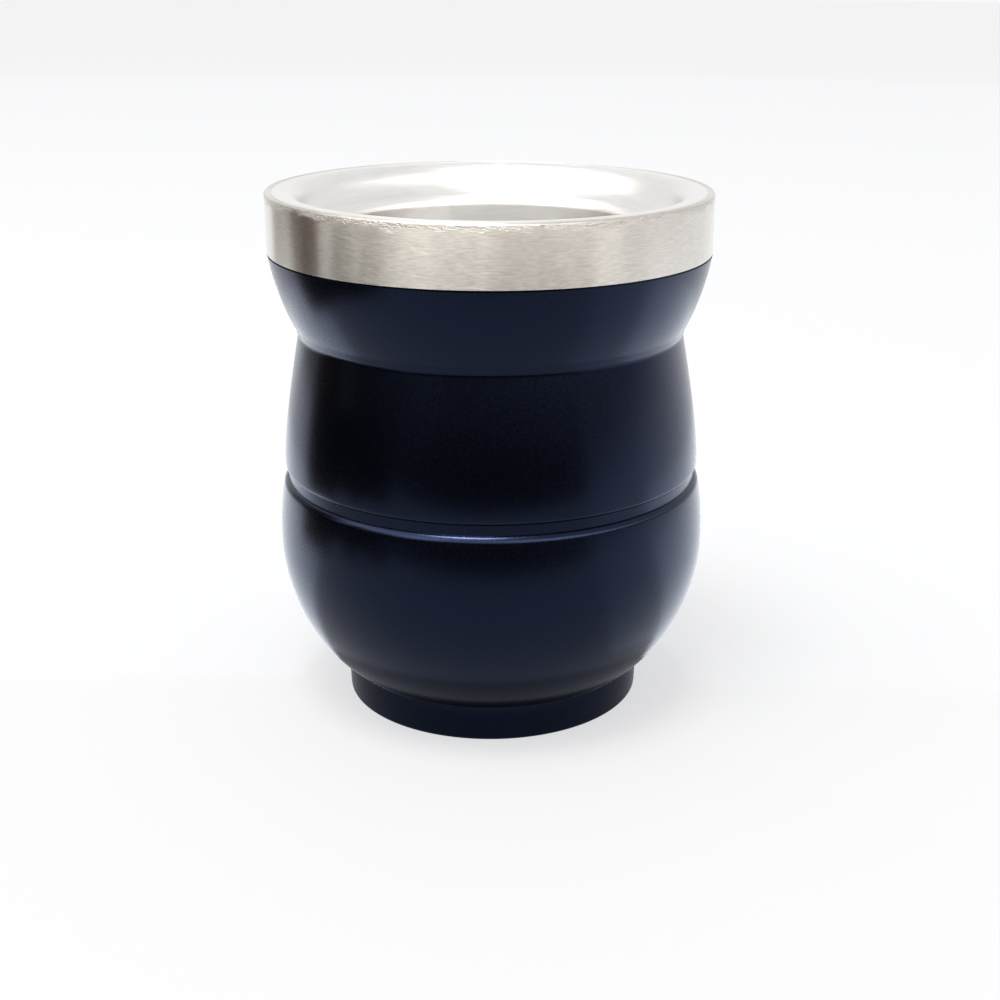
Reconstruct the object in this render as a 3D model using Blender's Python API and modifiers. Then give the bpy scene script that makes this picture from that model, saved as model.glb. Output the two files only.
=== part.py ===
"""Double-wall steel mate cup, empty.

The cup is turned from sheet steel: a coated outer shell shaped like a gourd, a bare
rim band above it, and a liner whose lip opens the drinking chamber. Every profile is
given in millimetres as (radius, height) pairs in the XZ plane and turned round +Z.
The cup stands on the ring of its foot at height zero.
"""
import math

import bpy

MM = 0.001
SEGMENTS = 48
MERGE_DISTANCE = 0.00001
SHARP_ANGLE = math.radians(32)
COLLECTION_NAME = "mate_cup"

# Overall size
CUP_HEIGHT = 101.5
RIM_RADIUS = 42.5
SHEET = 0.9
FIT_GAP = 0.3

# Foot ring, with the base set up inside it
FOOT_RADIUS = 29.6
FOOT_TOP_RADIUS = 29.9
FOOT_HEIGHT = 7.2
FOOT_EDGE = 0.5
REST_RING_WIDTH = 2.4
BASE_RECESS = 1.2
BASE_RECESS_SLOPE = 1.0

# Bowl: the round lower half, widest part way up
BOWL_START = (30.3, 7.3)
BOWL_START_LEAN = math.radians(54)
BOWL_START_PULL = 8.1
BOWL_WIDEST = (42.35, 33.7)
BOWL_WIDEST_PULL = 10.9
BOWL_UPPER_RADIUS = 60.0
SHOULDER_START = 44.8
SHOULDER_ROUND = 1.7

# Groove: the narrow straight strip between bowl and waist
GROOVE_RADIUS = 40.3

# Waist: the tall middle, drawn in towards the neck
WAIST_EDGE_ROUND = 1.2
WAIST_WIDEST = (40.9, 48.95)
WAIST_WIDEST_PULL = 5.4
WAIST_TOP_PULL = 12.8
WAIST_TOP_LEAN = math.radians(10.5)
NECK = (37.3, 74.65)
NECK_ROUND = 1.5

# Flare: the arc from the neck out to the band
FLARE_RADIUS = 47.8
FLARE_TOP = (42.5, 90.3)
FLARE_TOP_LEAN = math.radians(9.1)

# Bare rim band
BAND_WALL = 1.1
BAND_EDGE = 0.35

# Liner: flat lip, dished funnel, rolled throat and plain chamber
LIP_CREASE_RADIUS = 36.9
LIP_CREASE_ROUND = 1.0
FUNNEL_TOP_LEAN = math.radians(20)
FUNNEL_TOP_PULL = 2.6
FUNNEL_FOOT = (32.7, 95.85)
FUNNEL_FOOT_LEAN = math.radians(64)
FUNNEL_FOOT_PULL = 1.8
THROAT_RADIUS = 31.3
CHAMBER_FLOOR = 13.5
CHAMBER_CORNER = 12.0

# Straight runs that each curve is divided into, where it can be seen
BOWL_STEPS = 10
BOWL_UPPER_STEPS = 3
SHOULDER_STEPS = 5
WAIST_EDGE_STEPS = 4
WAIST_STEPS = 9
NECK_STEPS = 4
FLARE_STEPS = 8
BAND_EDGE_STEPS = 3
CORNER_STEPS = 6
THROAT_STEPS = 5
FUNNEL_STEPS = 6

# The same for the sides that face into the double wall
HIDDEN_BOWL_STEPS = 5
HIDDEN_WAIST_STEPS = 4
HIDDEN_FLARE_STEPS = 4
HIDDEN_FUNNEL_STEPS = 3
HIDDEN_CORNER_STEPS = 5


def arc(centre, radius, start, end, steps):
    """Points on a circle from one angle to another, both ends included."""
    points = []
    for step in range(steps + 1):
        angle = start + (end - start) * step / steps
        points.append((centre[0] + radius * math.cos(angle), centre[1] + radius * math.sin(angle)))
    return points


def bezier(start, start_handle, end_handle, end, steps):
    """Points on a cubic curve, both ends included."""
    points = []
    for step in range(steps + 1):
        t = step / steps
        u = 1 - t
        weights = (u ** 3, 3 * u * u * t, 3 * u * t * t, t ** 3)
        corners = (start, start_handle, end_handle, end)
        points.append(tuple(sum(w * c[axis] for w, c in zip(weights, corners)) for axis in (0, 1)))
    return points


def along(point, lean, distance):
    """The point reached by going up from a point, leaning outwards by an angle."""
    return (point[0] + distance * math.sin(lean), point[1] + distance * math.cos(lean))


def fillet(corner, lean_before, lean_after, radius, steps):
    """Round the corner between two straight runs that both go upwards."""
    turn = lean_after - lean_before
    side = math.copysign(1.0, turn)
    tangent = radius * math.tan(abs(turn) / 2)
    start = along(corner, lean_before, -tangent)
    centre = (start[0] + side * radius * math.cos(lean_before),
              start[1] - side * radius * math.sin(lean_before))
    first = math.atan2(start[1] - centre[1], start[0] - centre[0])
    return arc(centre, radius, first, first - turn, steps)


def offset(points, distance):
    """Move an upward profile towards the axis by a distance, square to its own line."""
    moved = []
    for index, (radius, height) in enumerate(points):
        before = points[max(index - 1, 0)]
        after = points[min(index + 1, len(points) - 1)]
        run = (after[0] - before[0], after[1] - before[1])
        length = math.hypot(*run)
        moved.append((radius - distance * run[1] / length, height + distance * run[0] / length))
    return moved


def bowl_lower(steps):
    """The bowl from the foot up to its widest ring."""
    start_handle = along(BOWL_START, BOWL_START_LEAN, BOWL_START_PULL)
    end_handle = (BOWL_WIDEST[0], BOWL_WIDEST[1] - BOWL_WIDEST_PULL)
    return bezier(BOWL_START, start_handle, end_handle, BOWL_WIDEST, steps)


def bowl_upper(steps):
    """The bowl from its widest ring up to the start of the shoulder."""
    centre = (BOWL_WIDEST[0] - BOWL_UPPER_RADIUS, BOWL_WIDEST[1])
    end = math.asin((SHOULDER_START - BOWL_WIDEST[1]) / BOWL_UPPER_RADIUS)
    return arc(centre, BOWL_UPPER_RADIUS, 0.0, end, steps)


def shoulder(steps):
    """The rounded top edge of the bowl, from its side in to the groove."""
    start = bowl_upper(1)[-1]
    lean = math.asin((SHOULDER_START - BOWL_WIDEST[1]) / BOWL_UPPER_RADIUS)
    centre = (start[0] - SHOULDER_ROUND * math.cos(lean), start[1] - SHOULDER_ROUND * math.sin(lean))
    end = math.acos((GROOVE_RADIUS - centre[0]) / SHOULDER_ROUND)
    return arc(centre, SHOULDER_ROUND, lean, end, steps)


def waist_edge(steps):
    """The rounded bottom edge of the waist, from the groove out to its side."""
    centre = (WAIST_WIDEST[0] - WAIST_EDGE_ROUND, WAIST_WIDEST[1])
    start = -math.acos((GROOVE_RADIUS - centre[0]) / WAIST_EDGE_ROUND)
    return arc(centre, WAIST_EDGE_ROUND, start, 0.0, steps)


def waist(steps):
    """The waist from its widest ring up to the neck."""
    start_handle = (WAIST_WIDEST[0], WAIST_WIDEST[1] + WAIST_WIDEST_PULL)
    end_handle = along(NECK, -WAIST_TOP_LEAN, -WAIST_TOP_PULL)
    return bezier(WAIST_WIDEST, start_handle, end_handle, NECK, steps)


def flare_centre():
    """The middle of the flare's arc."""
    return (FLARE_TOP[0] - FLARE_RADIUS * math.cos(FLARE_TOP_LEAN),
            FLARE_TOP[1] + FLARE_RADIUS * math.sin(FLARE_TOP_LEAN))


def flare(steps):
    """The flare from the height of the neck up to the band."""
    centre = flare_centre()
    start = math.asin((NECK[1] - centre[1]) / FLARE_RADIUS)
    return arc(centre, FLARE_RADIUS, start, -FLARE_TOP_LEAN, steps)


def neck(steps):
    """The rounded valley where waist and flare meet."""
    flare_lean = -math.asin((NECK[1] - flare_centre()[1]) / FLARE_RADIUS)
    return fillet(NECK, -WAIST_TOP_LEAN, flare_lean, NECK_ROUND, steps)


def shell_outside():
    """The outer shell's outer side, from the rest ring up to the band."""
    foot = [(FOOT_RADIUS - FOOT_EDGE, 0.0), (FOOT_RADIUS, FOOT_EDGE), (FOOT_TOP_RADIUS, FOOT_HEIGHT)]
    bowl = bowl_lower(BOWL_STEPS) + bowl_upper(BOWL_UPPER_STEPS)[1:] + shoulder(SHOULDER_STEPS)[1:]
    middle = waist_edge(WAIST_EDGE_STEPS) + waist(WAIST_STEPS)[1:-1] + neck(NECK_STEPS)
    return foot + bowl + middle + flare(FLARE_STEPS)[1:]


def shell_inside():
    """The outer shell's inner side, one sheet in from the outside, from the base up."""
    foot = [(FOOT_TOP_RADIUS - SHEET, BASE_RECESS + SHEET), (FOOT_TOP_RADIUS - SHEET, FOOT_HEIGHT + SHEET)]
    bowl = offset(bowl_lower(HIDDEN_BOWL_STEPS)[1:] + bowl_upper(1)[1:], SHEET)
    groove_low = (GROOVE_RADIUS - SHEET, shoulder(1)[-1][1] - SHEET / 2)
    groove_high = (GROOVE_RADIUS - SHEET, waist_edge(1)[0][1] + SHEET / 2)
    middle = offset(waist(HIDDEN_WAIST_STEPS)[:-1], SHEET) + [(NECK[0] - SHEET, NECK[1])]
    top = offset(flare(HIDDEN_FLARE_STEPS)[1:-1], SHEET) + [(FLARE_TOP[0] - SHEET, FLARE_TOP[1])]
    return foot + bowl + [groove_low, groove_high] + middle + top


def base_underside():
    """The rest ring and the raised base within it, from the ring in to the axis."""
    ring_inner = FOOT_RADIUS - FOOT_EDGE - REST_RING_WIDTH
    return [(ring_inner, 0.0), (ring_inner - BASE_RECESS_SLOPE, BASE_RECESS), (0.0, BASE_RECESS)]


def shell_profile():
    """Closed section of the outer shell, up the inside and down the outside."""
    return [(0.0, BASE_RECESS + SHEET)] + shell_inside() + shell_outside()[::-1] + base_underside()


def band_profile():
    """Closed section of the rim band, down its outer side and up its inner side."""
    bottom = FLARE_TOP[1] + FIT_GAP
    inner = RIM_RADIUS - BAND_WALL
    edge_centre = (RIM_RADIUS - BAND_EDGE, CUP_HEIGHT - BAND_EDGE)
    outer_edge = arc(edge_centre, BAND_EDGE, math.pi / 2, 0.0, BAND_EDGE_STEPS)
    return outer_edge + [(RIM_RADIUS, bottom), (inner, bottom), (inner, CUP_HEIGHT), outer_edge[0]]


def funnel(steps):
    """The dished slope from the throat up to the crease of the lip."""
    crease = (LIP_CREASE_RADIUS, CUP_HEIGHT)
    top = along(crease, FUNNEL_TOP_LEAN, -LIP_CREASE_ROUND)
    return bezier(FUNNEL_FOOT, along(FUNNEL_FOOT, FUNNEL_FOOT_LEAN, FUNNEL_FOOT_PULL),
                  along(top, FUNNEL_TOP_LEAN, -FUNNEL_TOP_PULL), top, steps)


def throat(steps):
    """The rolled edge between chamber wall and funnel."""
    turn = FUNNEL_FOOT_LEAN
    radius = (FUNNEL_FOOT[0] - THROAT_RADIUS) / (1 - math.cos(turn))
    centre = (THROAT_RADIUS + radius, FUNNEL_FOOT[1] - radius * math.sin(turn))
    return arc(centre, radius, math.pi, math.pi - turn, steps)


def liner_inside():
    """The side that holds the drink, from the axis up to the outer edge of the lip."""
    corner_centre = (THROAT_RADIUS - CHAMBER_CORNER, CHAMBER_FLOOR + CHAMBER_CORNER)
    corner = arc(corner_centre, CHAMBER_CORNER, -math.pi / 2, 0.0, CORNER_STEPS)
    crease = [(LIP_CREASE_RADIUS + LIP_CREASE_ROUND * math.sin(FUNNEL_TOP_LEAN), CUP_HEIGHT)]
    lip_edge = [(RIM_RADIUS - BAND_WALL - FIT_GAP, CUP_HEIGHT)]
    slope = throat(THROAT_STEPS) + funnel(FUNNEL_STEPS)[1:]
    return [(0.0, CHAMBER_FLOOR)] + corner + slope + crease + lip_edge


def liner_outside():
    """The hidden side of the liner, from the lip's edge down to the axis."""
    under_lip = CUP_HEIGHT - SHEET
    lip_edge = [(RIM_RADIUS - BAND_WALL - FIT_GAP, under_lip), (LIP_CREASE_RADIUS + SHEET, under_lip)]
    slope = [(radius + SHEET, height - SHEET) for radius, height in funnel(HIDDEN_FUNNEL_STEPS)[1:-1]]
    wall_radius = THROAT_RADIUS + SHEET
    wall_top = [(wall_radius + SHEET, throat(1)[-1][1] - SHEET), (wall_radius, throat(1)[0][1] - SHEET)]
    corner_centre = (THROAT_RADIUS - CHAMBER_CORNER, CHAMBER_FLOOR + CHAMBER_CORNER)
    corner = arc(corner_centre, CHAMBER_CORNER + SHEET, 0.0, -math.pi / 2, HIDDEN_CORNER_STEPS)
    return lip_edge + slope[::-1] + wall_top + corner + [(0.0, CHAMBER_FLOOR - SHEET)]


def liner_profile():
    """Closed section of the liner, up the inside and down the hidden side."""
    return liner_inside() + liner_outside()


def make_material(name, colour, roughness, metallic):
    """A plain surface with the piece's own colour and shine."""
    material = bpy.data.materials.new(name)
    material.use_nodes = True
    shader = material.node_tree.nodes["Principled BSDF"]
    shader.inputs["Base Color"].default_value = (*colour, 1.0)
    shader.inputs["Roughness"].default_value = roughness
    shader.inputs["Metallic"].default_value = metallic
    return material


def navy_coat():
    """Satin powder coat, very dark blue."""
    return make_material("navy_coat", colour=(0.010, 0.014, 0.030), roughness=0.42, metallic=0.0)


def brushed_steel():
    """Steel brushed round the band."""
    return make_material("brushed_steel", colour=(0.62, 0.59, 0.55), roughness=0.30, metallic=1.0)


def satin_steel():
    """Steel with the fine finish of the liner."""
    return make_material("satin_steel", colour=(0.66, 0.65, 0.63), roughness=0.22, metallic=1.0)


def turned(name, profile, material, collection):
    """Turn a profile round +Z and keep the result as one smooth-shaded mesh."""
    outline = bpy.data.meshes.new(name + "_outline")
    points = [(radius * MM, 0.0, height * MM) for radius, height in profile]
    outline.from_pydata(points, [(index, index + 1) for index in range(len(points) - 1)], [])
    piece = bpy.data.objects.new(name, outline)
    collection.objects.link(piece)
    screw = piece.modifiers.new("turn", "SCREW")
    screw.axis = "Z"
    screw.angle = math.tau
    screw.steps = SEGMENTS
    screw.render_steps = SEGMENTS
    screw.use_merge_vertices = True
    screw.merge_threshold = MERGE_DISTANCE
    bpy.context.view_layer.update()
    evaluated = piece.evaluated_get(bpy.context.evaluated_depsgraph_get())
    solid = bpy.data.meshes.new_from_object(evaluated)
    piece.modifiers.clear()
    piece.data = solid
    bpy.data.meshes.remove(outline)
    solid.name = name
    solid.materials.append(material)
    solid.shade_smooth()
    solid.set_sharp_from_angle(angle=SHARP_ANGLE)
    return piece


def make_cup():
    """Build the three pieces, each in its place."""
    collection = bpy.data.collections.new(COLLECTION_NAME)
    bpy.context.scene.collection.children.link(collection)
    turned("outer_shell", shell_profile(), navy_coat(), collection)
    turned("rim_band", band_profile(), brushed_steel(), collection)
    turned("liner", liner_profile(), satin_steel(), collection)


for leftover in list(bpy.data.objects):
    bpy.data.objects.remove(leftover, do_unlink=True)
make_cup()
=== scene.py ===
import math

import bmesh
import bpy
from mathutils import Matrix, Vector
from mathutils.geometry import interpolate_bezier


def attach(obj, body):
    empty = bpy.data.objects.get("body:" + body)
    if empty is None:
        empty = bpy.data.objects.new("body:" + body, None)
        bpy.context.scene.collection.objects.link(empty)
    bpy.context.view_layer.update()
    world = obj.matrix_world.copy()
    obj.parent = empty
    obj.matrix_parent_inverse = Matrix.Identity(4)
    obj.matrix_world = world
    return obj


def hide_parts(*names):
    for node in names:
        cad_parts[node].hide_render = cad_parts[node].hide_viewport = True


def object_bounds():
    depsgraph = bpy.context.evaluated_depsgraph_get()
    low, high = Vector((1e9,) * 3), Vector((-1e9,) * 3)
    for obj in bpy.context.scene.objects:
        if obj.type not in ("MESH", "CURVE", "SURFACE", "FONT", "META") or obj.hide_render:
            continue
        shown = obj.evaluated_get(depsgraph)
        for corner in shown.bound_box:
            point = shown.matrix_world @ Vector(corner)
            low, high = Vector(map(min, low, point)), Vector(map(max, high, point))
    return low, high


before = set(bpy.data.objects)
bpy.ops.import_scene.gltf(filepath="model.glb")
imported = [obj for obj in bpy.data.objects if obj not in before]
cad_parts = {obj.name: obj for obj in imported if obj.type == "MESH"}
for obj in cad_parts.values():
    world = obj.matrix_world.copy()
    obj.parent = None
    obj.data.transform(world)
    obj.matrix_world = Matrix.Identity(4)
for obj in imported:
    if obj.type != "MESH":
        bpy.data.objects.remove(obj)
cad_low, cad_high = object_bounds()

# The liner is the steel cup that holds the drink. It is drawn from stainless sheet, and its top
# is spun outwards into a rolled throat, a dished funnel and a flat lip. The lip's outer edge is
# welded to the rim band, and the weld is ground flush.
MM = 0.001
TURN_STEPS = 192
CREASE_ANGLE = math.radians(20)
MERGE_DISTANCE = 0.000001
CUP_HEIGHT = cad_high.z / MM
RIM_RADIUS = cad_high.x / MM
SHEET = 0.9
BAND_WALL = 1.1
FIT_GAP = 0.3
LIP_CREASE_RADIUS = 36.9
LIP_CREASE_ROUND = 2.4
LIP_CREASE_FULLNESS = 0.6
LIP_EDGE_RADIUS = RIM_RADIUS - BAND_WALL - FIT_GAP
FUNNEL_TOP_LEAN = math.radians(20)
FUNNEL_TOP_PULL = 2.6
FUNNEL_FOOT = (32.7, 95.85)
FUNNEL_FOOT_LEAN = math.radians(64)
FUNNEL_FOOT_PULL = 1.8
THROAT_RADIUS = 31.3
CHAMBER_FLOOR = 13.5
CHAMBER_CORNER = 12.0
LINER_STEEL = (0.72, 0.71, 0.70)
STEEL_CLOUDS = (35.0, 35.0, 60.0)
STEEL_CLOUD_SHADE = 0.95


def arc(centre, radius, start, end, steps):
    """Points on a circle in the turning plane, from one angle to another."""
    angles = [start + (end - start) * step / steps for step in range(steps + 1)]
    return [(centre[0] + radius * math.cos(a), centre[1] + radius * math.sin(a)) for a in angles]


def leaning(point, lean, distance):
    """The point reached by going up from a point, leaning outwards by an angle."""
    return (point[0] + distance * math.sin(lean), point[1] + distance * math.cos(lean))


def sweep(start, start_handle, end_handle, end, steps):
    """Points on a drawn curve in the turning plane."""
    knots = [Vector((radius, height, 0.0)) for radius, height in (start, start_handle, end_handle, end)]
    return [(p.x, p.y) for p in interpolate_bezier(*knots, steps + 1)]


def turned_piece(name, section, material, closed=False):
    """Turn a section round the cup's axis into one closed body."""
    bm = bmesh.new()
    corners = [bm.verts.new((radius * MM, 0.0, height * MM)) for radius, height in section]
    outline = [bm.edges.new(pair) for pair in zip(corners, corners[1:])]
    if closed:
        outline.append(bm.edges.new((corners[-1], corners[0])))
    bmesh.ops.spin(bm, geom=corners + outline, cent=(0, 0, 0), axis=(0, 0, 1), dvec=(0, 0, 0),
                   angle=math.tau, steps=TURN_STEPS, use_merge=True, use_duplicate=False)
    bmesh.ops.remove_doubles(bm, verts=bm.verts, dist=MERGE_DISTANCE)
    bmesh.ops.recalc_face_normals(bm, faces=bm.faces)
    mesh = bpy.data.meshes.new(name)
    bm.to_mesh(mesh)
    bm.free()
    mesh.materials.append(material)
    mesh.shade_smooth()
    mesh.set_sharp_from_angle(angle=CREASE_ANGLE)
    piece = bpy.data.objects.new(name, mesh)
    bpy.context.scene.collection.objects.link(piece)
    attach(piece, "root")
    return piece


def add_node(tree, kind, **inputs):
    """A shader node with its unlinked inputs set by name."""
    node = tree.nodes.new(kind)
    for name, value in inputs.items():
        node.inputs[name.replace("_", " ")].default_value = value
    return node


def stretched_noise(tree, stretch, detail):
    """Noise read from the piece's own coordinates, with so many patches a metre along each axis."""
    place = add_node(tree, "ShaderNodeTexCoord")
    mapping = add_node(tree, "ShaderNodeMapping", Scale=stretch)
    noise = add_node(tree, "ShaderNodeTexNoise", Scale=1.0, Detail=detail, Roughness=0.6)
    tree.links.new(place.outputs["Object"], mapping.inputs["Vector"])
    tree.links.new(mapping.outputs["Vector"], noise.inputs["Vector"])
    return noise


def ramp(tree, source, low, high):
    """Spread a 0 to 1 pattern between two values or two colours."""
    node = add_node(tree, "ShaderNodeValToRGB")
    for stop, value in zip(node.color_ramp.elements, (low, high)):
        stop.color = (*value, 1.0) if isinstance(value, tuple) else (value, value, value, 1.0)
    node.color_ramp.elements[0].position = 0.3
    node.color_ramp.elements[1].position = 0.7
    tree.links.new(source, node.inputs["Fac"])
    return node.outputs["Color"]


def bumped(tree, heights, shader):
    """Stack height patterns, each given as (pattern, depth in metres), under the shader."""
    normal = None
    for height, depth in heights:
        bump = add_node(tree, "ShaderNodeBump", Strength=1.0, Distance=depth)
        tree.links.new(height, bump.inputs["Height"])
        if normal is not None:
            tree.links.new(normal, bump.inputs["Normal"])
        normal = bump.outputs["Normal"]
    tree.links.new(normal, shader.inputs["Normal"])


def turned_steel(name, colour, spread, low_roughness, high_roughness, grain, depth, streak_shade):
    """Bare stainless steel worked round the cup, so that its shine spreads across the lines.

    The grain is how many lines lie in a metre along each axis, and the depth is in metres.
    """
    material = bpy.data.materials.new(name)
    material.use_nodes = True
    tree = material.node_tree
    shader = tree.nodes["Principled BSDF"]
    shader.inputs["Metallic"].default_value = 1.0
    shader.inputs["Anisotropic"].default_value = spread
    shader.inputs["Anisotropic Rotation"].default_value = 0.25
    tangent = add_node(tree, "ShaderNodeTangent")
    tangent.direction_type = "RADIAL"
    tangent.axis = "Z"
    tree.links.new(tangent.outputs["Tangent"], shader.inputs["Tangent"])
    cloudy = stretched_noise(tree, STEEL_CLOUDS, 3.0)
    darker = tuple(channel * STEEL_CLOUD_SHADE for channel in colour)
    lines = stretched_noise(tree, grain, 4.0)
    streaked = tree.nodes.new("ShaderNodeVectorMath")
    streaked.operation = "MULTIPLY"
    tree.links.new(ramp(tree, cloudy.outputs["Fac"], darker, colour), streaked.inputs[0])
    tree.links.new(ramp(tree, lines.outputs["Fac"], streak_shade, 1.0), streaked.inputs[1])
    tree.links.new(streaked.outputs["Vector"], shader.inputs["Base Color"])
    roughness = ramp(tree, lines.outputs["Fac"], low_roughness, high_roughness)
    tree.links.new(roughness, shader.inputs["Roughness"])
    scores = stretched_noise(tree, (grain[0] * 0.4, grain[1] * 0.4, grain[2] * 0.3), 5.0)
    bumped(tree, [(lines.outputs["Fac"], depth), (scores.outputs["Fac"], depth * 2.0)], shader)
    return material


def funnel(steps):
    """The dished slope from the throat up to the crease of the lip."""
    top = leaning((LIP_CREASE_RADIUS, CUP_HEIGHT), FUNNEL_TOP_LEAN, -LIP_CREASE_ROUND)
    return sweep(FUNNEL_FOOT, leaning(FUNNEL_FOOT, FUNNEL_FOOT_LEAN, FUNNEL_FOOT_PULL),
                 leaning(top, FUNNEL_TOP_LEAN, -FUNNEL_TOP_PULL), top, steps)


def lip_crease(steps):
    """The rounded crease between funnel and flat lip."""
    reach = LIP_CREASE_ROUND * LIP_CREASE_FULLNESS
    start = leaning((LIP_CREASE_RADIUS, CUP_HEIGHT), FUNNEL_TOP_LEAN, -LIP_CREASE_ROUND)
    end = (LIP_CREASE_RADIUS + LIP_CREASE_ROUND, CUP_HEIGHT)
    return sweep(start, leaning(start, FUNNEL_TOP_LEAN, reach), (end[0] - reach, end[1]), end, steps)


def throat(steps):
    """The rolled edge between chamber wall and funnel."""
    radius = (FUNNEL_FOOT[0] - THROAT_RADIUS) / (1 - math.cos(FUNNEL_FOOT_LEAN))
    centre = (THROAT_RADIUS + radius, FUNNEL_FOOT[1] - radius * math.sin(FUNNEL_FOOT_LEAN))
    return arc(centre, radius, math.pi, math.pi - FUNNEL_FOOT_LEAN, steps)


corner_centre = (THROAT_RADIUS - CHAMBER_CORNER, CHAMBER_FLOOR + CHAMBER_CORNER)
drinking_side = [(0.0, CHAMBER_FLOOR)] + arc(corner_centre, CHAMBER_CORNER, -math.pi / 2, 0.0, 20)
drinking_side += throat(14) + funnel(28)[1:] + lip_crease(12)[1:] + [(LIP_EDGE_RADIUS, CUP_HEIGHT)]
under_lip = CUP_HEIGHT - SHEET
hidden_side = [(LIP_EDGE_RADIUS, under_lip), (LIP_CREASE_RADIUS + SHEET, under_lip)]
hidden_side += [(radius + SHEET, height - SHEET) for radius, height in funnel(6)[1:-1][::-1]]
hidden_side += [(THROAT_RADIUS + 2 * SHEET, throat(1)[-1][1] - SHEET)]
hidden_side += [(THROAT_RADIUS + SHEET, throat(1)[0][1] - SHEET)]
hidden_side += arc(corner_centre, CHAMBER_CORNER + SHEET, 0.0, -math.pi / 2, 12)
hidden_side += [(0.0, CHAMBER_FLOOR - SHEET)]
liner_steel = turned_steel("liner_steel", LINER_STEEL, spread=0.5, low_roughness=0.30, high_roughness=0.38,
                           grain=(200.0, 200.0, 3500.0), depth=0.0000006, streak_shade=0.94)
liner = turned_piece("steel_liner", drinking_side + hidden_side, liner_steel)
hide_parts("liner")

# The outer shell is spun from the same sheet: a foot ring, a round bowl, a narrow straight groove,
# a waist drawn in to the neck, and a flare. It is sprayed with a dark navy powder coat that is
# baked to a satin, faintly grained skin. Its closed base is set up inside the foot ring.
FOOT_RADIUS = 29.6
FOOT_TOP_RADIUS = 29.9
FOOT_HEIGHT = 7.2
FOOT_EDGE = 0.5
REST_RING_WIDTH = 2.4
BASE_RECESS = 1.2
BOWL_START = (30.3, 7.3)
BOWL_START_LEAN = math.radians(54)
BOWL_START_PULL = 8.1
BOWL_WIDEST = (42.35, 33.7)
BOWL_WIDEST_PULL = 10.9
BOWL_UPPER_RADIUS = 60.0
SHOULDER_START = 44.8
SHOULDER_ROUND = 1.7
GROOVE_RADIUS = 40.3
WAIST_EDGE_ROUND = 1.2
WAIST_WIDEST = (40.9, 48.95)
WAIST_WIDEST_PULL = 5.4
WAIST_TOP_PULL = 12.8
WAIST_TOP_LEAN = math.radians(10.5)
NECK = (37.3, 74.65)
NECK_ROUND = 1.5
FLARE_RADIUS = 47.8
FLARE_TOP = (42.5, 90.3)
FLARE_TOP_LEAN = math.radians(9.1)
FLARE_EDGE = 0.25
FLARE_CENTRE = (FLARE_TOP[0] - FLARE_RADIUS * math.cos(FLARE_TOP_LEAN),
                FLARE_TOP[1] + FLARE_RADIUS * math.sin(FLARE_TOP_LEAN))
COAT_DARK = (0.0010, 0.0011, 0.0020)
COAT_LIGHT = (0.0016, 0.0019, 0.0034)
COAT_CLOUDS = (60.0, 60.0, 60.0)
COAT_GRAIN = (2600.0, 2600.0, 2600.0)
COAT_GRAIN_DEPTH = 0.000006
NIBS_PER_METRE = 190.0
NIB_SIZE = 0.035
NIB_HEIGHT = 0.00006


def bowl(lower_steps, upper_steps):
    """The bowl from the foot to the start of the shoulder."""
    lower = sweep(BOWL_START, leaning(BOWL_START, BOWL_START_LEAN, BOWL_START_PULL),
                  (BOWL_WIDEST[0], BOWL_WIDEST[1] - BOWL_WIDEST_PULL), BOWL_WIDEST, lower_steps)
    end = math.asin((SHOULDER_START - BOWL_WIDEST[1]) / BOWL_UPPER_RADIUS)
    centre = (BOWL_WIDEST[0] - BOWL_UPPER_RADIUS, BOWL_WIDEST[1])
    return lower + arc(centre, BOWL_UPPER_RADIUS, 0.0, end, upper_steps)[1:]


def shoulder(steps):
    """The rounded top edge of the bowl, in to the groove."""
    lean = math.asin((SHOULDER_START - BOWL_WIDEST[1]) / BOWL_UPPER_RADIUS)
    start = bowl(1, 1)[-1]
    centre = (start[0] - SHOULDER_ROUND * math.cos(lean), start[1] - SHOULDER_ROUND * math.sin(lean))
    at_groove = math.acos((GROOVE_RADIUS - centre[0]) / SHOULDER_ROUND)
    return arc(centre, SHOULDER_ROUND, lean, at_groove, steps)


def waist_edge(steps):
    """The rounded bottom edge of the waist, out from the groove."""
    centre = (WAIST_WIDEST[0] - WAIST_EDGE_ROUND, WAIST_WIDEST[1])
    at_groove = -math.acos((GROOVE_RADIUS - centre[0]) / WAIST_EDGE_ROUND)
    return arc(centre, WAIST_EDGE_ROUND, at_groove, 0.0, steps)


def waist(steps):
    """The waist from its widest ring up to the neck."""
    return sweep(WAIST_WIDEST, (WAIST_WIDEST[0], WAIST_WIDEST[1] + WAIST_WIDEST_PULL),
                 leaning(NECK, -WAIST_TOP_LEAN, -WAIST_TOP_PULL), NECK, steps)


def neck(steps):
    """The rounded valley where waist and flare meet."""
    flare_lean = -math.asin((NECK[1] - FLARE_CENTRE[1]) / FLARE_RADIUS)
    turn = flare_lean + WAIST_TOP_LEAN
    start = leaning(NECK, -WAIST_TOP_LEAN, -NECK_ROUND * math.tan(turn / 2))
    centre = (start[0] + NECK_ROUND * math.cos(WAIST_TOP_LEAN),
              start[1] + NECK_ROUND * math.sin(WAIST_TOP_LEAN))
    first = math.pi + WAIST_TOP_LEAN
    return arc(centre, NECK_ROUND, first, first - turn, steps)


def flare(steps):
    """The flare from the neck up to the rim band."""
    start = math.asin((NECK[1] - FLARE_CENTRE[1]) / FLARE_RADIUS)
    return arc(FLARE_CENTRE, FLARE_RADIUS, start, -FLARE_TOP_LEAN, steps)


def one_sheet_in(points):
    """The hidden side of the sheet, square to the seen side."""
    moved = []
    for before, here, after in zip(points[:1] + points, points, points[1:] + points[-1:]):
        run = Vector((after[0] - before[0], after[1] - before[1])).normalized()
        moved.append((here[0] - SHEET * run.y, here[1] + SHEET * run.x))
    return moved


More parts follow.
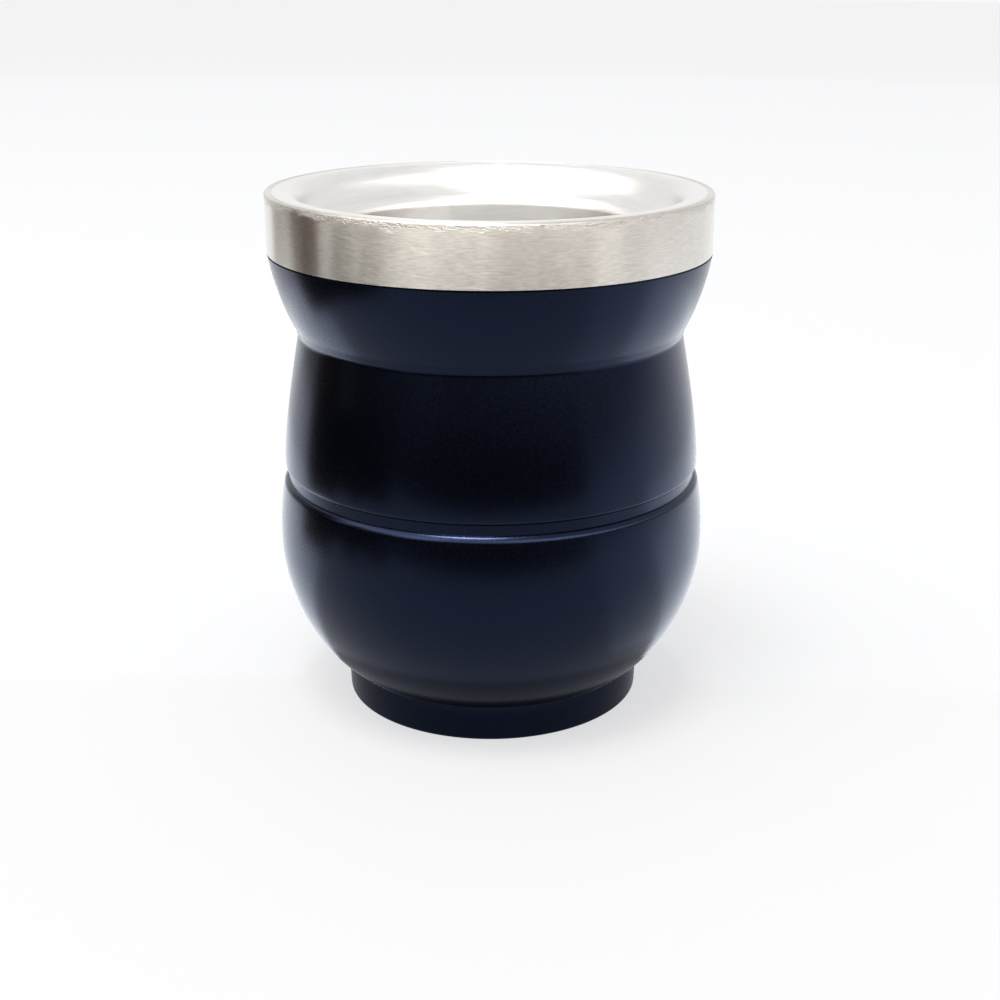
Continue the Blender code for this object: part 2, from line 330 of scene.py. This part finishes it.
def powder_coat():
    """Dark navy powder coat: near black from the front, paler where it is seen edge on."""
    material = bpy.data.materials.new("navy_powder_coat")
    material.use_nodes = True
    tree = material.node_tree
    shader = tree.nodes["Principled BSDF"]
    shader.inputs["IOR"].default_value = 1.65
    shader.inputs["Specular Tint"].default_value = (0.45, 0.57, 1.0, 1.0)
    shader.inputs["Sheen Weight"].default_value = 0.7
    shader.inputs["Sheen Roughness"].default_value = 0.1
    shader.inputs["Sheen Tint"].default_value = (0.9, 0.95, 1.0, 1.0)
    cloudy = stretched_noise(tree, COAT_CLOUDS, 3.0)
    tree.links.new(ramp(tree, cloudy.outputs["Fac"], COAT_DARK, COAT_LIGHT), shader.inputs["Base Color"])
    grain = stretched_noise(tree, COAT_GRAIN, 3.0)
    tree.links.new(ramp(tree, grain.outputs["Fac"], 0.22, 0.29), shader.inputs["Roughness"])
    place = add_node(tree, "ShaderNodeTexCoord")
    cells = add_node(tree, "ShaderNodeTexVoronoi", Scale=NIBS_PER_METRE, Randomness=1.0)
    tree.links.new(place.outputs["Object"], cells.inputs["Vector"])
    nibs = add_node(tree, "ShaderNodeMapRange", From_Min=0.0, From_Max=NIB_SIZE, To_Min=1.0, To_Max=0.0)
    tree.links.new(cells.outputs["Distance"], nibs.inputs["Value"])
    bumped(tree, [(grain.outputs["Fac"], COAT_GRAIN_DEPTH), (nibs.outputs["Result"], NIB_HEIGHT)], shader)
    return material


groove_low = (GROOVE_RADIUS - SHEET, shoulder(1)[-1][1] - SHEET / 2)
groove_high = (GROOVE_RADIUS - SHEET, waist_edge(1)[0][1] + SHEET / 2)
shell_section = [(0.0, BASE_RECESS + SHEET), (FOOT_TOP_RADIUS - SHEET, BASE_RECESS + SHEET)]
shell_section += [(FOOT_TOP_RADIUS - SHEET, FOOT_HEIGHT + SHEET)] + one_sheet_in(bowl(10, 2)[1:])
shell_section += [groove_low, groove_high] + one_sheet_in(waist(8)[:-1])
shell_section += [(NECK[0] - SHEET, NECK[1])] + one_sheet_in(flare(8)[1:-1])
shell_section += [(FLARE_TOP[0] - SHEET, FLARE_TOP[1])]
seen_side = arc((FOOT_RADIUS - FOOT_EDGE, FOOT_EDGE), FOOT_EDGE, -math.pi / 2, 0.0, 5)
seen_side += [(FOOT_TOP_RADIUS, FOOT_HEIGHT)] + bowl(48, 12) + shoulder(16)[1:]
seen_side += waist_edge(12) + waist(40)[1:-1] + neck(8) + flare(36)[3:-1]
flare_end = leaning(FLARE_TOP, FLARE_TOP_LEAN, -FLARE_EDGE)
under_band = FLARE_TOP[0] - FLARE_EDGE
seen_side += [flare_end, (under_band, flare_end[1]), (under_band, FLARE_TOP[1])]
ring_inner = FOOT_RADIUS - FOOT_EDGE - REST_RING_WIDTH
underside = [(ring_inner, 0.0), (ring_inner - 1.0, BASE_RECESS), (0.0, BASE_RECESS)]
shell = turned_piece("coated_shell", shell_section + seen_side[::-1] + underside, powder_coat())
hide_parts("outer_shell")

# The rim band is a plain steel ring, left bare. It is brushed round its outside with an abrasive
# belt, so fine lines run round it. Its top edge is broken by hand, and its foot meets the coat.
SEAM_GAP = 0.01
BAND_FOOT_GAP = 0.05
BAND_FOOT = FLARE_TOP[1] + BAND_FOOT_GAP
BAND_EDGE = 0.35
BAND_FOOT_EDGE = 0.1
BAND_STEEL = (0.66, 0.635, 0.595)
SCRATCHED_HEIGHT = 1.7
EDGE_TURN = 0.4
SCRATCHES = (1500.0, 1500.0, 2600.0)
SCRATCH_DEPTH = 0.0005
SCRATCH_BORDER = (260.0, 260.0, 900.0)


def scratch_edge(material):
    """Short rough scratches along the band's top edge. They fade out below it and on its flat top."""
    tree = material.node_tree
    shader = tree.nodes["Principled BSDF"]
    place = add_node(tree, "ShaderNodeTexCoord")
    split = add_node(tree, "ShaderNodeSeparateXYZ")
    tree.links.new(place.outputs["Object"], split.inputs["Vector"])
    ragged = stretched_noise(tree, SCRATCH_BORDER, 4.0)
    lifted = add_node(tree, "ShaderNodeMapRange", From_Min=0.3, From_Max=0.7,
                      To_Min=-SCRATCHED_HEIGHT * MM * 0.5, To_Max=SCRATCHED_HEIGHT * MM * 0.5)
    tree.links.new(ragged.outputs["Fac"], lifted.inputs["Value"])
    height = add_node(tree, "ShaderNodeMath")
    tree.links.new(split.outputs["Z"], height.inputs[0])
    tree.links.new(lifted.outputs["Result"], height.inputs[1])
    near_edge = add_node(tree, "ShaderNodeMapRange", From_Min=(CUP_HEIGHT - SCRATCHED_HEIGHT) * MM,
                         From_Max=(CUP_HEIGHT - EDGE_TURN) * MM)
    tree.links.new(height.outputs["Value"], near_edge.inputs["Value"])
    below_top = add_node(tree, "ShaderNodeMapRange", From_Min=(CUP_HEIGHT - EDGE_TURN) * MM,
                         From_Max=(CUP_HEIGHT - 0.05) * MM, To_Min=1.0, To_Max=0.06)
    tree.links.new(split.outputs["Z"], below_top.inputs["Value"])
    strength = tree.nodes.new("ShaderNodeMath")
    strength.operation = "MULTIPLY"
    tree.links.new(near_edge.outputs["Result"], strength.inputs[0])
    tree.links.new(below_top.outputs["Result"], strength.inputs[1])
    scratches = stretched_noise(tree, SCRATCHES, 5.0)
    bump = add_node(tree, "ShaderNodeBump", Distance=SCRATCH_DEPTH)
    tree.links.new(strength.outputs["Value"], bump.inputs["Strength"])
    tree.links.new(scratches.outputs["Fac"], bump.inputs["Height"])
    tree.links.new(shader.inputs["Normal"].links[0].from_socket, bump.inputs["Normal"])
    tree.links.new(bump.outputs["Normal"], shader.inputs["Normal"])


edge_centre = (RIM_RADIUS - BAND_EDGE, CUP_HEIGHT - BAND_EDGE)
foot_centre = (RIM_RADIUS - BAND_FOOT_EDGE, BAND_FOOT + BAND_FOOT_EDGE)
band_inner = LIP_EDGE_RADIUS + SEAM_GAP
band_section = arc(edge_centre, BAND_EDGE, math.pi / 2, 0.0, 8)
band_section += arc(foot_centre, BAND_FOOT_EDGE, 0.0, -math.pi / 2, 6)
band_section += [(band_inner, BAND_FOOT), (band_inner, CUP_HEIGHT)]
band_steel = turned_steel("band_steel", BAND_STEEL, spread=1.0, low_roughness=0.30, high_roughness=0.38,
                          grain=(500.0, 500.0, 4500.0), depth=0.0000055, streak_shade=0.78)
scratch_edge(band_steel)
band = turned_piece("brushed_rim_band", band_section, band_steel, closed=True)
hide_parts("rim_band")

# The cup stands on a plain pale table, under a large soft lamp and a wide panel, both high at the
# front left. Cards that only show in its reflections stand in for the room: it is dark low down in
# front and bright above that, and the table is bright beside the cup and behind it.
# A dim disc under the cup is painted shade: it puts the shadow on the table beneath the cup into those
# reflections.
FLOOR_RADIUS = 6.0
FLOOR_PAINT = (0.153, 0.153, 0.154)
FLOOR_GLOW = (0.465, 0.466, 0.47)
CARD_HEIGHT = 0.0005
CONTACT_SHADOW_RADIUS = 0.04
CONTACT_SHADOW_HEIGHT = 0.0004
CONTACT_SHADOW_STEPS = 48
WALL_DISTANCE = 2.2
WALL_HALF_WIDTH = 10


def card(name, corners, colour):
    """A flat glowing card, given by its corners in metres, that only shows in reflections."""
    mesh = bpy.data.meshes.new(name)
    mesh.from_pydata(corners, [], [tuple(range(len(corners)))])
    material = bpy.data.materials.new(name)
    material.use_nodes = True
    tree = material.node_tree
    shader = tree.nodes["Principled BSDF"]
    shader.inputs["Base Color"].default_value = (0.0, 0.0, 0.0, 1.0)
    shader.inputs["Specular IOR Level"].default_value = 0.0
    shader.inputs["Emission Color"].default_value = (*colour, 1.0)
    shader.inputs["Emission Strength"].default_value = 1.0
    mesh.materials.append(material)
    piece = bpy.data.objects.new(name, mesh)
    bpy.context.scene.collection.objects.link(piece)
    piece.visible_camera = False
    piece.visible_diffuse = False
    piece.visible_shadow = False


def standing_card(name, first_azimuth, last_azimuth, distance, low, high, colour):
    """A card on a circle round the cup. Azimuths run in degrees from the front towards the right."""
    corners = []
    for azimuth, height in ((first_azimuth, low), (last_azimuth, low),
                            (last_azimuth, high), (first_azimuth, high)):
        turn = math.radians(azimuth)
        corners.append((distance * math.sin(turn), -distance * math.cos(turn), height))
    card(name, corners, colour)


def table_card(name, first_azimuth, last_azimuth, near, far, colour):
    """A card on the table, between two azimuths and two distances from the cup's axis."""
    width = last_azimuth - first_azimuth
    steps = width // 4
    turns = [math.radians(first_azimuth + width * step / steps) for step in range(steps + 1)]
    corners = [(near * math.sin(turn), -near * math.cos(turn), CARD_HEIGHT) for turn in turns]
    corners += [(far * math.sin(turn), -far * math.cos(turn), CARD_HEIGHT) for turn in turns[::-1]]
    card(name, corners, colour)


bm = bmesh.new()
bmesh.ops.create_circle(bm, cap_ends=True, segments=64, radius=FLOOR_RADIUS)
floor_mesh = bpy.data.meshes.new("floor")
bm.to_mesh(floor_mesh)
bm.free()
floor = bpy.data.objects.new("floor", floor_mesh)
bpy.context.scene.collection.objects.link(floor)
floor_paint = bpy.data.materials.new("floor_paint")
floor_paint.use_nodes = True
floor_shader = floor_paint.node_tree.nodes["Principled BSDF"]
floor_shader.inputs["Base Color"].default_value = (*FLOOR_PAINT, 1.0)
floor_shader.inputs["Roughness"].default_value = 0.7
floor_shader.inputs["Specular IOR Level"].default_value = 0.1
floor_shader.inputs["Emission Color"].default_value = (*FLOOR_GLOW, 1.0)
floor_shader.inputs["Emission Strength"].default_value = 1.0
floor_mesh.materials.append(floor_paint)

front_corners = [(x, y, CARD_HEIGHT) for x, y in ((-1.2, -0.225), (1.2, -0.225), (1.2, -2.5), (-1.2, -2.5))]
card("table_front", front_corners, (0.05, 0.045, 0.04))
table_card("table_side", 50, 84, near=0.046, far=1.8, colour=(0.86, 0.87, 0.89))
table_card("table_near", 84, 270, near=0.035, far=0.25, colour=(1.28, 1.31, 1.36))
table_card("table_far", 84, 270, near=0.25, far=1.8, colour=(0.95, 0.96, 0.98))
for azimuth, height, shade, top, light in (
        (-100, 0.45, 0.02, 2.4, 1.3), (-80, 0.45, 0.02, 2.4, 1.5), (-60, 0.5, 0.02, 2.4, 1.6),
        (-40, 0.55, 0.05, 2.4, 2.8), (-20, 0.6, 0.06, 2.4, 1.7), (0, 0.6, 0.06, 2.4, 2.2),
        (20, 0.6, 0.08, 2.2, 2.9), (40, 0.55, 0.14, 1.6, 3.3), (60, 0.5, 0.22, 1.2, 3.0),
        (80, 0.5, 0.35, 0.9, 2.2), (100, 0.45, 0.5, 0.8, 1.4)):
    first, last = azimuth - WALL_HALF_WIDTH, azimuth + WALL_HALF_WIDTH
    standing_card("room_%03d" % (azimuth + 180), first, last, WALL_DISTANCE, 0.0, height,
                  (shade, shade * 0.9, shade * 0.95))
    standing_card("wall_%03d" % (azimuth + 180), first, last, WALL_DISTANCE, height, top,
                  (light, light * 0.97, light * 0.93))
for name, first, last, distance, low, high, colour in (
        ("side_flag", -128, -106, 0.17, 0.05, 0.13, (0.42, 0.41, 0.39)),
        ("brown_flag", -107, -84, 0.17, CARD_HEIGHT, 0.15, (0.09, 0.045, 0.025)),
        ("green_flag", -76, -66, 0.20, CARD_HEIGHT, 0.14, (0.07, 0.08, 0.03)),
        ("grey_flag", -61, -51, 0.22, CARD_HEIGHT, 0.11, (0.09, 0.075, 0.06)),
        ("low_flag", -104, -50, 0.165, 0.02, 0.06, (0.02, 0.02, 0.02))):
    standing_card(name, first, last, distance, low, high, colour)
# Painted shade: a dim glowing disc under the foot, seen only in reflections, stands in for the shadowed
# table beneath the cup and darkens the foot and lower bowl.
contact_turns = [math.tau * step / CONTACT_SHADOW_STEPS for step in range(CONTACT_SHADOW_STEPS)]
contact_corners = [(CONTACT_SHADOW_RADIUS * math.cos(turn), CONTACT_SHADOW_RADIUS * math.sin(turn), CONTACT_SHADOW_HEIGHT)
                   for turn in contact_turns]
card("painted_contact_shadow", contact_corners, (0.34, 0.35, 0.36))


def soft_lamp(name, azimuth, elevation, distance, width, height, radiance):
    """A rectangular soft lamp that faces the cup. Angles are in radians, azimuths as for the cards."""
    data = bpy.data.lights.new(name, "AREA")
    data.shape = "RECTANGLE"
    data.size = width
    data.size_y = height
    data.energy = radiance * math.pi * width * height
    lamp = bpy.data.objects.new(name, data)
    bpy.context.scene.collection.objects.link(lamp)
    direction = Vector((math.sin(azimuth) * math.cos(elevation), -math.cos(azimuth) * math.cos(elevation),
                        math.sin(elevation)))
    lamp.location = direction * distance
    lamp.rotation_mode = "QUATERNION"
    lamp.rotation_quaternion = direction.to_track_quat("Z", "Y")
    lamp.visible_camera = False


soft_lamp("window", azimuth=math.radians(-28), elevation=math.radians(74), distance=1.4,
          width=0.5, height=0.45, radiance=13.2)
soft_lamp("panel", azimuth=math.radians(-60), elevation=math.radians(54), distance=2.0,
          width=2.5, height=1.7, radiance=0.9)

world = bpy.data.worlds.new("studio")
bpy.context.scene.world = world
world.use_nodes = True
sky = world.node_tree
seen_sky = sky.nodes["Background"]
seen_sky.inputs["Color"].default_value = (0.665, 0.665, 0.668, 1.0)
lit_sky = sky.nodes.new("ShaderNodeBackground")
lit_sky.inputs["Color"].default_value = (0.80, 0.80, 0.80, 1.0)
light_path = sky.nodes.new("ShaderNodeLightPath")
choose = sky.nodes.new("ShaderNodeMixShader")
sky.links.new(light_path.outputs["Is Camera Ray"], choose.inputs["Fac"])
sky.links.new(lit_sky.outputs["Background"], choose.inputs[1])
sky.links.new(seen_sky.outputs["Background"], choose.inputs[2])
sky.links.new(choose.outputs["Shader"], sky.nodes["World Output"].inputs["Surface"])

bpy.context.scene.view_settings.view_transform = "Standard"
bpy.context.scene.view_settings.look = "High Contrast"

# The camera stands close in front of the cup, a little above it, and looks down on it. The shift
# puts the cup as far left of the picture's middle as it is in the photo.
CAMERA_PLACE = (0.0, -0.29948, 0.14274)
CAMERA_LENS = 56.17
CAMERA_PITCH = math.radians(19.133)
CAMERA_YAW = math.radians(2.244)
CAMERA_ROLL = math.radians(-0.438)
CAMERA_SHIFT = -0.05

camera_data = bpy.data.cameras.new("camera")
camera_data.sensor_width = 36.0
camera_data.lens = CAMERA_LENS
camera_data.shift_x = CAMERA_SHIFT
camera_data.clip_start = 0.01
camera_data.clip_end = 50.0
camera = bpy.data.objects.new("camera", camera_data)
bpy.context.scene.collection.objects.link(camera)
ahead = Vector((math.sin(CAMERA_YAW) * math.cos(CAMERA_PITCH), math.cos(CAMERA_YAW) * math.cos(CAMERA_PITCH),
                -math.sin(CAMERA_PITCH)))
level_right = Vector((math.cos(CAMERA_YAW), -math.sin(CAMERA_YAW), 0.0))
level_down = ahead.cross(level_right)
right = math.cos(CAMERA_ROLL) * level_right + math.sin(CAMERA_ROLL) * level_down
up = math.sin(CAMERA_ROLL) * level_right - math.cos(CAMERA_ROLL) * level_down
camera.matrix_world = Matrix.Translation(CAMERA_PLACE) @ Matrix((right, up, -ahead)).transposed().to_4x4()
bpy.context.scene.camera = camera
